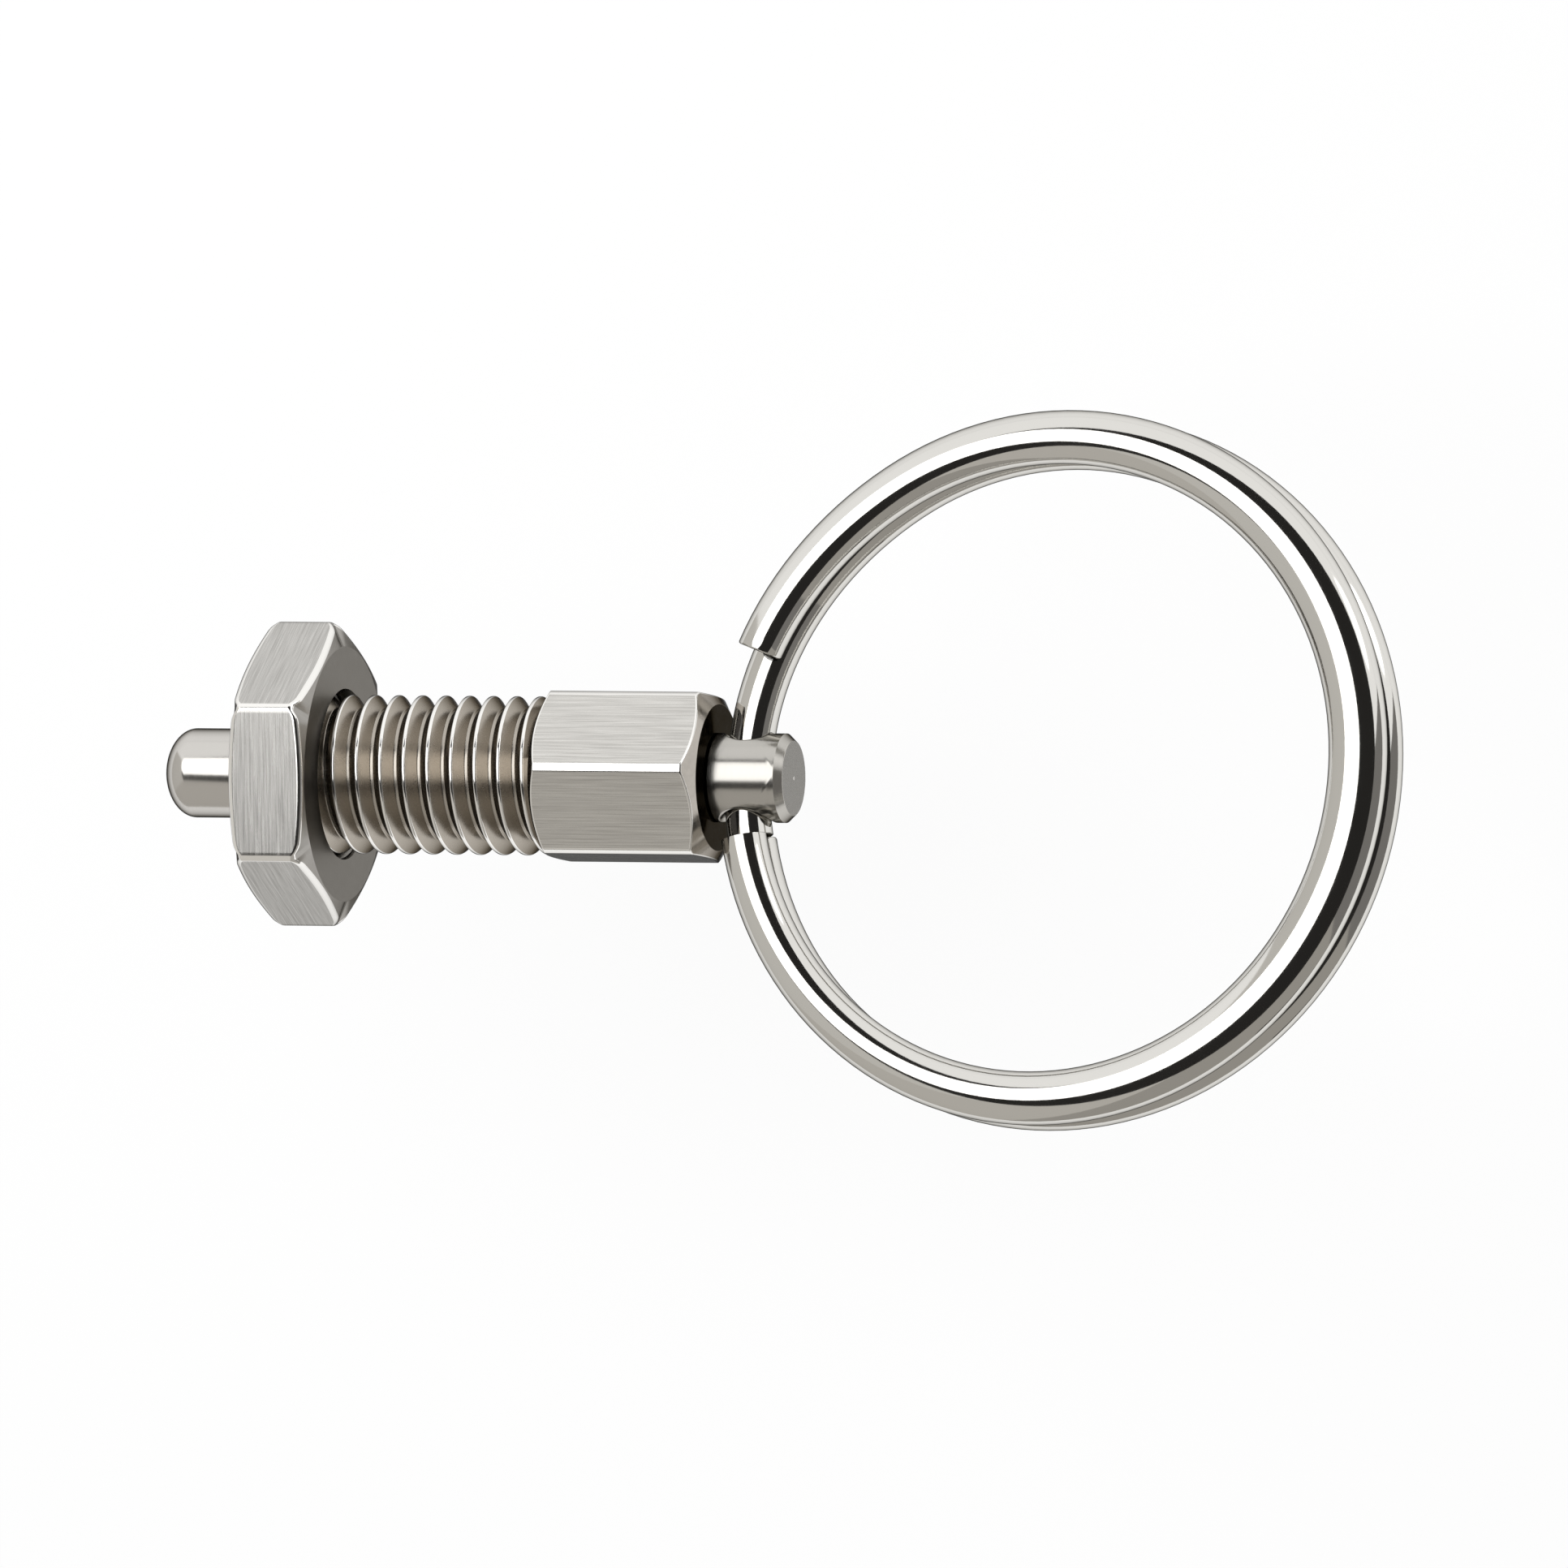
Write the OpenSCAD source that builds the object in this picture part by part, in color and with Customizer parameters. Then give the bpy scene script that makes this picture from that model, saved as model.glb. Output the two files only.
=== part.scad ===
// Indexing plunger with a pull ring and a hexagon lock nut.
// The plunger lies along X: the pin's tip points to -X and the ring to +X.
// X = 0 is the front end of the threaded sleeve, on the plunger's own axis.
// The nut lies on one of its flats, so +Z is up.

/* [Index pin] */
// Diameter of the pin's nose and shank
pin_d = 4.5; // [4:0.05:5]
// How far the tip stands out of the sleeve
pin_reach = 5.3; // [3:0.1:8]
// Length of the rounded end
nose_round = 1.5; // [0.5:0.1:2]
// Length of pin inside the sleeve
pin_inside = 8.5; // [6:0.5:10]
// Length of the grease groove behind the nose
groove_len = 0.8; // [0.7:0.1:1.5]
// Depth of the grease groove
groove_depth = 0.25; // [0.2:0.05:0.4]
// Depth of the socket that takes the pull rod's stem
socket_depth = 5; // [3:0.5:6]

/* [Sleeve] */
// Outside diameter of the thread
thread_d = 8; // [7.5:0.1:10]
// Length of thread in front of the hexagon
thread_len = 14.9; // [12:0.1:20]
// How far each flat of the hexagon stands out beyond the thread
hex_step = 0.1; // [0.05:0.05:1]
// Length of the hexagon
hex_len = 8.9; // [6:0.1:12]
// How far inside the flats the turned circle on the hexagon's ends lies
hex_face_in = 0.4; // [0.1:0.05:0.6]
// Angle of the chamfer at the hexagon's corners
hex_chamfer_angle = 30; // [15:1:30]
// Thickness of the wall behind the spring
rear_wall = 3.5; // [2:0.1:5]
// Chamfer at the sleeve's front edge
front_chamfer = 0.6; // [0.2:0.1:1]
// Chamfer at the mouth of the guide bore
mouth_chamfer = 0.3; // [0.1:0.05:0.5]
// Turn of the hexagon's top corner towards +Y, in degrees
hex_turn = 9.7; // [-30:0.1:30]

/* [Lock nut] */
// Nut size across its flats
nut_af = 13.4; // [12:0.1:17]
// Thickness of the nut
nut_t = 4; // [3:0.1:5]
// How far inside the flats the turned circle on the nut's faces lies
nut_face_in = 0.3; // [0.1:0.05:0.8]
// Angle of the chamfer at the nut's corners
nut_chamfer_angle = 15; // [15:1:30]
// Width of the countersink at each end of the nut's thread
nut_sink = 0.25; // [0.1:0.05:0.6]
// Depth of each countersink
nut_sink_depth = 0.5; // [0.2:0.1:1]

/* [Pull rod] */
// Diameter of the knob at the ring end
knob_d = 4.5; // [4:0.1:6]
// Metal between the knob's shoulder and its cross hole
knob_wall = 0.15; // [0.1:0.05:0.5]
// Metal between the cross hole and the knob's end
knob_nose = 0.95; // [0.8:0.05:2]
// Length of the chamfer at the knob's end
knob_chamfer = 0.38; // [0.1:0.02:0.5]

/* [Spring] */
// Diameter of the spring's wire
spring_wire = 0.45; // [0.3:0.05:0.5]
// Number of turns
spring_turns = 9; // [6:1:10]

/* [Split ring] */
// Mean diameter of the ring's turns
ring_d = 33.4; // [28:0.1:40]
// Thickness of one turn, measured along the ring's own axis
turn_t = 2.08; // [1.9:0.02:2.1]
// Gap between the two turns
turn_gap = 0.02; // [0.02:0.01:0.1]
// Width of the wire opposite the knob
wire_w = 3.1; // [2.4:0.05:3.2]
// Width of the wire where it passes through the knob
wire_w_knob = 2.35; // [2:0.05:2.4]
// Length of the gap from the knob's axis to the upper cut end, along the wire
upper_gap = 5.93; // [5.3:0.01:8.8]
// Length of the gap from the knob's axis to the lower cut end, along the wire
lower_gap = 3.63; // [3.5:0.01:5.8]
// Turn of the ring and its hole about the plunger's axis, in degrees
ring_turn = 11.6; // [-20:0.1:20]
// Lift of the ring's far side, in degrees
ring_lift = 4.5; // [0:0.5:5]
// How far the ring has slipped along its hole
ring_slip = 0.35; // [-0.5:0.05:0.5]

/* [Clearances] */
// Radial clearance of the pin in its guide bore
pin_fit = 0.05; // [0.02:0.01:0.1]
// Radial clearance of the stem in the rear wall
stem_fit = 0.05; // [0.02:0.01:0.1]
// Radial clearance of the nut on the thread
nut_fit = 0.05; // [0.02:0.01:0.1]
// Radial gap filled by the adhesive between stem and socket
bond_gap = 0.01; // [0:0.01:0.03]
// Gap between the knob's shoulder and the hexagon at rest
knob_gap = 0.1; // [0.05:0.05:0.3]
// Radial room on each side of the spring's wire
spring_play = 0.175; // [0.1:0.025:0.3]
// Radial room for the ring's wire in the knob's cross hole
ring_play = 0.08; // [0.04:0.01:0.2]
// Gap at each end of the spring
spring_gap = 0.05; // [0:0.05:0.2]

/* [Hidden] */

// Facets round a turned surface
round_fn = 96;
// Steps in the pin's rounded end
nose_steps = 12;
// How far a cutter runs past the face it cuts
past = 1;

pin_r = pin_d / 2;
thread_r = thread_d / 2;
guide_r = pin_r + pin_fit;
stem_r = guide_r - spring_wire - 2 * spring_play;
knob_r = knob_d / 2;
hex_af = thread_d + 2 * hex_step;
hex_face_d = hex_af - 2 * hex_face_in;
nut_face_d = nut_af - 2 * nut_face_in;
sleeve_len = thread_len + hex_len;
spring_seat_x = sleeve_len - rear_wall;
knob_x = sleeve_len + knob_gap;
stem_x = pin_inside - socket_depth;
spring_mean_r = (stem_r + guide_r) / 2;
ring_r = ring_d / 2;
turn_pitch = turn_t + turn_gap;
// Height of the wire in the hole, as a share of the way to a turn's own height
hole_level = 0.1;
// How far the ring's wire bows and leans across the knob
wire_bow = ring_r - sqrt(pow(ring_r, 2) - pow(knob_r, 2));
wire_lean = 2 * abs(ring_slip) * knob_r / ring_r;
wire_room = max(wire_w_knob + wire_bow + wire_lean, turn_t + hole_level * turn_pitch);
hole_d = wire_room + 2 * ring_play;
hole_x = knob_x + knob_wall + hole_d / 2;
knob_end_x = hole_x + hole_d / 2 + knob_nose;

// A turned solid along X, from an outline of [radius, x] points
module turned(outline) {
    rotate([0, 90, 0]) rotate_extrude($fn = round_fn) polygon(outline);
}

// A hexagonal bar along X with a corner at the top and a turned chamfer on both ends
module chamfered_hex(af, length, face_d, angle) {
    corner_r = af / 2 / cos(30);
    face_r = face_d / 2;
    drop = (corner_r + past - face_r) * tan(angle);
    intersection() {
        rotate([0, 90, 0]) cylinder(r = corner_r, h = length, $fn = 6);
        turned([
            [0, 0], [face_r, 0], [corner_r + past, drop],
            [corner_r + past, length - drop], [face_r, length], [0, length]
        ]);
    }
}

// One-piece body: threaded shank, hexagon, guide bore and the wall behind the spring
module sleeve_body() {
    color("silver") difference() {
        union() {
            turned([
                [0, 0], [thread_r - front_chamfer, 0], [thread_r, front_chamfer],
                [thread_r, thread_len + past], [0, thread_len + past]
            ]);
            translate([thread_len, 0, 0]) rotate([-hex_turn, 0, 0])
                chamfered_hex(hex_af, hex_len, hex_face_d, hex_chamfer_angle);
        }
        turned([
            [0, -past], [guide_r + mouth_chamfer + past, -past], [guide_r, mouth_chamfer],
            [guide_r, spring_seat_x], [0, spring_seat_x]
        ]);
        translate([spring_seat_x - past, 0, 0]) rotate([0, 90, 0])
            cylinder(r = stem_r + stem_fit, h = rear_wall + 2 * past, $fn = round_fn);
    }
}

// Thin hexagon nut, set flush with the sleeve's front end
module lock_nut() {
    bore_r = thread_r + nut_fit;
    sink_r = bore_r + nut_sink;
    flare = nut_sink / nut_sink_depth * past;
    color("lightgray") difference() {
        rotate([30, 0, 0]) chamfered_hex(nut_af, nut_t, nut_face_d, nut_chamfer_angle);
        turned([
            [0, -past], [sink_r + flare, -past], [bore_r, nut_sink_depth],
            [bore_r, nut_t - nut_sink_depth], [sink_r + flare, nut_t + past], [0, nut_t + past]
        ]);
    }
}

// Pin with a rounded nose, a grease groove and a socket for the stem
module index_pin() {
    groove_r = pin_r - groove_depth;
    nose = [for (i = [0 : nose_steps])
        let (a = 90 * i / nose_steps)
        [pin_r * sin(a), -pin_reach + nose_round * (1 - cos(a))]];
    color("gainsboro") difference() {
        turned(concat(nose, [
            [pin_r, 0], [groove_r, 0], [groove_r, groove_len],
            [pin_r, groove_len], [pin_r, pin_inside], [0, pin_inside]
        ]));
        translate([stem_x - bond_gap, 0, 0]) rotate([0, 90, 0])
            cylinder(r = stem_r + bond_gap, h = socket_depth + past, $fn = round_fn);
    }
}

// Knob and stem turned as one piece, with the ring's hole across the knob
module pull_rod() {
    color("gainsboro") difference() {
        turned([
            [0, stem_x], [stem_r, stem_x], [stem_r, knob_x], [knob_r, knob_x],
            [knob_r, knob_end_x - knob_chamfer], [knob_r - knob_chamfer, knob_end_x],
            [0, knob_end_x]
        ]);
        translate([hole_x, 0, 0]) rotate([-ring_turn, 0, 0]) rotate([90, 0, 0])
            cylinder(d = hole_d, h = knob_d + 2 * past, center = true, $fn = round_fn);
    }
}

// Points round one cross-section of wire: half-width a, half-height b, both ends rounded
function wire_section(a, b, sides) =
    [for (k = [0 : sides - 1])
        let (t = 360 * (k + 0.5) / sides)
        [(a - b) * sign(cos(t)) + b * cos(t), b * sin(t)]];

// Triangles over a row of cross-sections, with both ends closed
function skin_faces(rows, sides) = concat(
    [[for (k = [sides - 1 : -1 : 0]) k]],
    [for (i = [0 : rows - 2], k = [0 : sides - 1], half = [0, 1])
        let (n = (k + 1) % sides, a = i * sides, b = a + sides)
        half == 0 ? [a + k, a + n, b + n] : [a + k, b + n, b + k]],
    [[for (k = [0 : sides - 1]) (rows - 1) * sides + k]]
);

// Points per turn and round the wire of the spring
spring_rows = 18;
spring_sides = 8;
// Turns that lie flat at each end of the spring
flat_turns = 1;

// Compression spring between the pin's shoulder and the sleeve's rear wall
module compression_spring() {
    wire_r = spring_wire / 2;
    start_x = pin_inside + spring_gap + wire_r;
    end_x = spring_seat_x - spring_gap - wire_r;
    flat_rise = spring_wire * 1.02;
    open_turns = spring_turns - 2 * flat_turns;
    open_rise = (end_x - start_x - 2 * flat_turns * flat_rise) / open_turns;
    last = spring_turns * spring_rows;
    points = [for (i = [0 : last], k = [0 : spring_sides - 1])
        let (
            turn = i / spring_rows,
            opened = min(max(turn - flat_turns, 0), open_turns),
            x = start_x + (turn - opened) * flat_rise + opened * open_rise,
            t = 360 * k / spring_sides,
            r = spring_mean_r + wire_r * cos(t)
        )
        [x + wire_r * sin(t), r * cos(360 * turn), r * sin(360 * turn)]];
    color("darkgray") polyhedron(points, skin_faces(last + 1, spring_sides));
}

// Length of wire over which it steps down, which also keeps it clear of a cut end
step_run = 0.29;

// Cut ends, and where the wire steps from one turn to the other, as angles from the knob
upper_end = wire_angle(upper_gap);
lower_end = wire_angle(lower_gap);
step_from = lower_end - wire_angle(step_run);
step_to = step_from - wire_angle(step_run);
hole_half = asin(knob_r / ring_r);
settle_at = upper_end - wire_angle(step_run);
// Angle between cross-sections on the plain turns and where the wire steps over
plain_step = 6;
fine_step = 1.2;
ring_sides = 16;

// Angle that a length of wire takes up on the ring
function wire_angle(length) = length / ring_r * 180 / PI;

function ease(x, x0, x1) = let (t = min(max((x - x0) / (x1 - x0), 0), 1)) t * t * (3 - 2 * t);

// Height of the wire at an angle that runs on from the upper end, 0 to 720 and back past the knob:
// 1 is the upper turn, -1 the lower one
function ring_level(travel) =
    let (past_knob = travel - (360 - upper_end))
    1 - (1 - hole_level) * ease(past_knob, -step_from, -step_to)
      - 2 * hole_level * ease(past_knob, -hole_half, hole_half)
      - (1 - hole_level) * ease(past_knob, hole_half, settle_at);

function ring_half_width(angle) =
    (wire_w_knob + (wire_w - wire_w_knob) * (1 + cos(angle)) / 2) / 2;

ring_travel = 720 - upper_end - lower_end;
ring_stops = concat(
    [for (a = [0 : plain_step : 360 - upper_end - step_from - 2]) a],
    [for (a = [360 - upper_end - step_from - fine_step : fine_step : 360 - upper_end + settle_at]) a],
    [for (a = [360 : plain_step : ring_travel - 1]) a],
    [ring_travel]
);

// Key-ring style split ring: two touching turns of one wire, stepped over inside the knob's hole
module split_ring() {
    half_t = turn_t / 2;
    points = [for (travel = ring_stops)
        let (angle = 180 - upper_end - travel, level = ring_level(travel) * turn_pitch / 2)
        for (p = wire_section(ring_half_width(angle), half_t, ring_sides))
        [
            ring_r - wire_bow / 2 + (ring_r + p[0]) * cos(angle),
            (ring_r + p[0]) * sin(angle) + ring_slip,
            level + p[1]
        ]];
    color("silver") translate([hole_x, 0, 0]) rotate([-ring_turn, 0, 0]) rotate([0, -ring_lift, 0])
        polyhedron(points, skin_faces(len(ring_stops), ring_sides));
}

sleeve_body();
lock_nut();
index_pin();
pull_rod();
compression_spring();
split_ring();
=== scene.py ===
# %% [markdown]
# # An indexing plunger with a pull ring
#
# A spring pushes a round-nosed pin out of a threaded sleeve. A thin nut locks the sleeve in its
# plate, and a split ring through the knob at the other end pulls the pin back. All of it is
# stainless steel, so the whole lesson is about metal: bevels, brushed grain and what the polished
# surfaces mirror. Every piece is built in millimetres and shrunk to Blender's metres at the end.

import math

import bmesh
import bpy
from mathutils import Matrix, Vector


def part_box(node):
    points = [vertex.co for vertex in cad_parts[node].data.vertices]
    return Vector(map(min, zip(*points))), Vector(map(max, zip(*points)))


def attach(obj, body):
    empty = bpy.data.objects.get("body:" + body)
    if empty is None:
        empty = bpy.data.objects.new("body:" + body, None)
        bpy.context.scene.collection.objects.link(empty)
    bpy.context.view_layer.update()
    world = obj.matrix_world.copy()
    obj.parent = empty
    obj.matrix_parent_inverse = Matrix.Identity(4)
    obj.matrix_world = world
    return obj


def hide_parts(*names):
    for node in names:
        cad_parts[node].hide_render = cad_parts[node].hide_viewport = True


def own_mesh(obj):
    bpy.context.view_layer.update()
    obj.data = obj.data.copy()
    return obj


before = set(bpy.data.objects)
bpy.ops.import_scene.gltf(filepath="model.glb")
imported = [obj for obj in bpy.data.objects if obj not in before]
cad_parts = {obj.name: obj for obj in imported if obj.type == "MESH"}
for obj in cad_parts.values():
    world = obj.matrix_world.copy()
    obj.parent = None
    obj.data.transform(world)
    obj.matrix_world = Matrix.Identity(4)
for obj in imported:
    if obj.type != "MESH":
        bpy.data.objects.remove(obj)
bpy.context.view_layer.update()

# %% [markdown]
# ## Sizes
#
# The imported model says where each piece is. The sizes that its box can't give, such as the
# thread's pitch or the width of a bevel, are written once: here if several pieces share them, or
# else with their own piece. The plunger lies along X, the pin's tip points to -X, and X = 0 is the
# sleeve's front end.

# %% Shared sizes in millimetres
MM = 0.001


def box_mm(node):
    """Lowest and highest corner of a CAD node, in millimetres."""
    low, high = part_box(node)
    return low / MM, high / MM


sleeve_end = box_mm("sleeve_body")[1].x
nut_t = box_mm("lock_nut")[1].x
pin_tip = box_mm("index_pin")[0].x
knob_end = box_mm("pull_rod")[1].x
spring_low, spring_high = box_mm("compression_spring")

thread_r = 4.0
pitch = 1.25
# The bore in front guides the pin, and the stem runs on through a narrower hole.
guide_r = 2.3
stem_r = 1.5
# The hole for the ring crosses the knob and is turned a little about X.
knob_r = 2.25
hole_x = 25.428
ring_turn = 11.6
print("sleeve ends at", round(sleeve_end, 2), "and the knob at", round(knob_end, 2))

# %% [markdown]
# ## Turning an outline into a mesh
#
# Nearly every piece here is turned, so it is a stack of closed loops round the X axis, joined by
# four-sided faces. A lathe modifier could do that, but a hexagon, a thread and a round face have to
# meet in one piece. So one helper joins loops that all have the same number of points, and each
# loop may be any shape. Sharp corners catch no light, so a second helper rounds the corners of an
# outline by a real radius before it is turned.

# %% Helpers for outlines
TAU = math.tau
TINY = 1e-9
# Half the angle between the sides of a corner that counts as straight.
STRAIGHT = math.radians(89)
# A narrow row on each side of a rounded corner keeps the surfaces next to it flat in the shading.
GUARD_ROW = 0.02


def rounded(points, radii, steps=4):
    """The same open outline with its inner corners rounded by the given radii.

    A rounded corner becomes steps + 3 points, and a radius of 0 leaves the corner as it is.
    """
    out = [Vector(points[0])]
    for i in range(1, len(points) - 1):
        before, corner, after = (Vector(points[k]) for k in (i - 1, i, i + 1))
        to_before = (before - corner).normalized()
        to_after = (after - corner).normalized()
        half = to_before.angle(to_after) / 2
        if radii[i] == 0 or half > STRAIGHT:
            out.append(corner)
            continue
        reach = radii[i] / math.tan(half)
        centre = corner + (to_before + to_after).normalized() * radii[i] / math.sin(half)
        start = corner + to_before * reach - centre
        end = corner + to_after * reach - centre
        sweep = start.angle_signed(end)
        out.append(centre + start + to_before * GUARD_ROW)
        for k in range(steps + 1):
            turned = Matrix.Rotation(-sweep * k / steps, 2) @ start
            out.append(centre + turned)
        out.append(centre + end + to_after * GUARD_ROW)
    out.append(Vector(points[-1]))
    return out


def around_x(x, r, angle):
    """The point at that distance from the X axis and at that angle round it."""
    return Vector((x, r * math.cos(angle), r * math.sin(angle)))


def circle_loop(r, x, angles):
    """A loop of radius r round the axis, at x."""
    return [around_x(x, r, a) for a in angles]


def column_loops(columns, angles):
    """Closed loops from one outline of (x, r) for each angle."""
    rows = range(len(columns[0]))
    return [[around_x(c[i].x, c[i].y, a) for c, a in zip(columns, angles)] for i in rows]


rounded_square = rounded([(0, 0), (1, 0), (1, 1)], [0, 0.1, 0])
print("a rounded corner has", len(rounded_square) - 2, "points")

# %% Helpers for skins
# Points closer than this are one point.
WELD = 0.0004


def add_skin(bm, loops, material=0, cap_first=False, cap_last=False, bright=(), bright_material=0):
    """Joins a row of loops of equal length with quads. Columns in bright get their own material."""
    rows = [[bm.verts.new(p) for p in loop] for loop in loops]
    count = len(rows[0])
    for near, far in zip(rows, rows[1:]):
        for k in range(count):
            n = (k + 1) % count
            face = bm.faces.new((near[k], near[n], far[n], far[k]))
            face.material_index = bright_material if k in bright else material
    if cap_first:
        bm.faces.new(rows[0][::-1]).material_index = material
    if cap_last:
        bm.faces.new(rows[-1]).material_index = material


def add_bands(bm, loops, bands, flat, edge, bevels):
    """A skin in bands of (first loop, last loop, material). On the flats, bevels get the edge's."""
    for first, last, material in bands:
        bright = bevels if material == flat else ()
        add_skin(bm, loops[first : last + 1], material, bright=bright, bright_material=edge)


def edge_uses(mesh):
    """How many faces each edge has."""
    uses = {}
    for polygon in mesh.polygons:
        for key in polygon.edge_keys:
            uses[key] = uses.get(key, 0) + 1
    return uses


def finish_mesh(name, bm, materials, sharp=40):
    """Welds the skin, turns its faces outwards, shades it smooth and shrinks it to metres."""
    bmesh.ops.remove_doubles(bm, verts=bm.verts[:], dist=WELD)
    bmesh.ops.recalc_face_normals(bm, faces=bm.faces[:])
    mesh = bpy.data.meshes.new(name)
    bm.to_mesh(mesh)
    bm.free()
    mesh.transform(Matrix.Scale(MM, 4))
    mesh.shade_smooth()
    mesh.set_sharp_from_angle(angle=math.radians(sharp))
    obj = bpy.data.objects.new(name, mesh)
    bpy.context.scene.collection.objects.link(obj)
    for material in materials:
        mesh.materials.append(material)
    open_edges = sum(1 for count in edge_uses(mesh).values() if count == 1)
    print(name, len(mesh.polygons), "faces,", open_edges, "open edges")
    return obj


print("points closer than", WELD, "mm are welded")

# %% [markdown]
# ## Colour and nodes
#
# A colour is written as the hex value that a screen shows, and one function turns it into the
# linear light that Blender reckons with. One more function adds a node, gives it its settings and
# links its inputs, so that each material below reads from top to bottom.

# %% Helpers for colour and nodes


def linear(hex_colour):
    """An sRGB hex colour as linear RGBA."""
    channels = [int(hex_colour[i : i + 2], 16) / 255 for i in (1, 3, 5)]
    return [c / 12.92 if c <= 0.04045 else ((c + 0.055) / 1.055) ** 2.4 for c in channels] + [1]


def add_node(tree, kind, settings=None, links=None):
    """Adds a node. A setting is an input's name or number, or one of the node's own properties."""
    node = tree.nodes.new(kind)
    for name, value in (settings or {}).items():
        if isinstance(name, int) or name in node.inputs:
            node.inputs[name].default_value = value
        else:
            setattr(node, name, value)
    for name, source in (links or {}).items():
        tree.links.new(source, node.inputs[name])
    return node


def new_material(name):
    """An empty node material, its tree and its output."""
    material = bpy.data.materials.new(name)
    material.use_nodes = True
    tree = material.node_tree
    tree.nodes.clear()
    return material, tree, add_node(tree, "ShaderNodeOutputMaterial")


print("mid grey #808080 is", round(linear("#808080")[0], 3), "in linear light")

# %% [markdown]
# ## Bare steel
#
# The whole part is stainless steel, which is bare metal: metallic 1, the default IOR, and a colour
# that is only the tint of what it mirrors. What tells its surfaces apart is how each was made. A
# drawn and tumbled wire mirrors sharply, a brushed flat blurs across its scratches, and a rolled
# thread is browner, because its grooves keep a trace of oil and oxide. So one function makes them
# all, and each finish gives it a roughness and a noise stretched to the size of its marks. An image
# of scratches would have to be unwrapped, while a noise in the piece's own space keeps its size.
# It varies the shade and the gloss, and raises a very low relief.

# %% Steel with marks of a real size
# A noise of three octaves hardly leaves this range, so the range is spread over the gloss.
NOISE_LOW = 0.3
NOISE_HIGH = 0.7


def steel(name, colour, rough, spread, grain_mm, bump_mm, tint=None, edge="#202020"):
    """Bare stainless steel. grain_mm is the size of its marks along X, Y and Z.

    The shade runs from tint to colour, and the roughness goes spread up and down from rough. edge
    is the edge tint, far darker than steel's own, so the metal reflects dark just before its outline:
    a painted shade that draws the thin dark line there.
    """
    material, tree, output = new_material(name)
    place = add_node(tree, "ShaderNodeTexCoord")
    scale = [1 / (g * MM) for g in grain_mm]
    stretched = add_node(
        tree, "ShaderNodeMapping", {"Scale": scale}, {"Vector": place.outputs["Object"]}
    )
    grain = add_node(
        tree,
        "ShaderNodeTexNoise",
        {"Scale": 1.0, "Detail": 3.0, "Roughness": 0.6},
        {"Vector": stretched.outputs["Vector"]},
    )
    roughness = add_node(
        tree,
        "ShaderNodeMapRange",
        {
            "From Min": NOISE_LOW,
            "From Max": NOISE_HIGH,
            "To Min": rough - spread,
            "To Max": rough + spread,
        },
        {"Value": grain.outputs["Fac"]},
    )
    shades = add_node(
        tree,
        "ShaderNodeMix",
        {"data_type": "RGBA", "A": linear(tint or colour), "B": linear(colour)},
        {"Factor": grain.outputs["Fac"]},
    )
    bump = add_node(
        tree,
        "ShaderNodeBump",
        {"Strength": 1.0, "Distance": bump_mm * MM},
        {"Height": grain.outputs["Fac"]},
    )
    surface = add_node(
        tree,
        "ShaderNodeBsdfPrincipled",
        {"Metallic": 1.0, "Specular Tint": linear(edge)},
        {
            "Base Color": shades.outputs["Result"],
            "Roughness": roughness.outputs["Result"],
            "Normal": bump.outputs["Normal"],
        },
    )
    tree.links.new(surface.outputs["BSDF"], output.inputs["Surface"])
    return material


print("a mark of 0.08 mm is a noise of", round(1 / (0.08 * MM)), "cells in a metre")

# %% [markdown]
# ## Thirteen finishes
#
# Each finish below starts from how its surface was made. Real grinding and belt marks are only
# hundredths of a millimetre wide, too fine to show, so they are drawn coarser and the comment says
# by how much. Two colours carry light as well: the dark end of the hexagon is painted shade, and
# the near-white edges are a painted highlight.

# %% Wire and turned steel
# Drawn round wire, tumbled until it shines. The eye gets sharp black and white bands. Its only
# marks are broad changes of gloss, about 3 mm long.
polished_wire = steel(
    "polished_stainless_wire", "#E0DED9", rough=0.07, spread=0.02, grain_mm=(3, 3, 3), bump_mm=0.0
)
# Centreless ground shank. The grinding marks run round it, 0.01 mm apart on the real pin and drawn
# 0.05 mm apart here, and give a bright band with soft edges.
ground_pin = steel(
    "ground_stainless_pin", "#D4D1CC", rough=0.16, spread=0.03, grain_mm=(0.05, 2, 2), bump_mm=0.0004
)
# Fine turned skin of the knob, with marks of the same kind and size, left a little duller.
turned_knob = steel(
    "turned_stainless_knob", "#C4C1BB", rough=0.2, spread=0.03, grain_mm=(0.05, 2, 2), bump_mm=0.0004
)
# The knob's end, faced by the same tool: even grey without a mirror image. Its marks, 0.05 mm
# apart on a real one, are drawn as a grain of 0.08 mm.
faced_end = steel(
    "faced_stainless_end",
    "#D2D0CC",
    rough=0.28,
    spread=0.05,
    grain_mm=(0.5, 0.08, 0.08),
    bump_mm=0.0006,
)
# The knob's side of the hexagon, turned smooth, with no mark but a faint wave 0.3 mm long. It
# stands close behind the ring. Its colour is darkened and its edge tint set to black as painted
# shade for the narrow space between the hexagon and the knob.
hexagon_end_painted_shade = steel(
    "turned_end_painted_shade",
    "#8B8986",
    rough=0.12,
    spread=0.03,
    grain_mm=(0.5, 0.3, 0.3),
    bump_mm=0.0002,
    edge="#000000",
)
# The cone turned over the hexagon's corners, a lighter and softer grey than the end, with the same
# wave in it.
turned_chamfer = steel(
    "turned_stainless_chamfer",
    "#BDB7AF",
    rough=0.2,
    spread=0.05,
    grain_mm=(0.5, 0.3, 0.3),
    bump_mm=0.0006,
)
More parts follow.
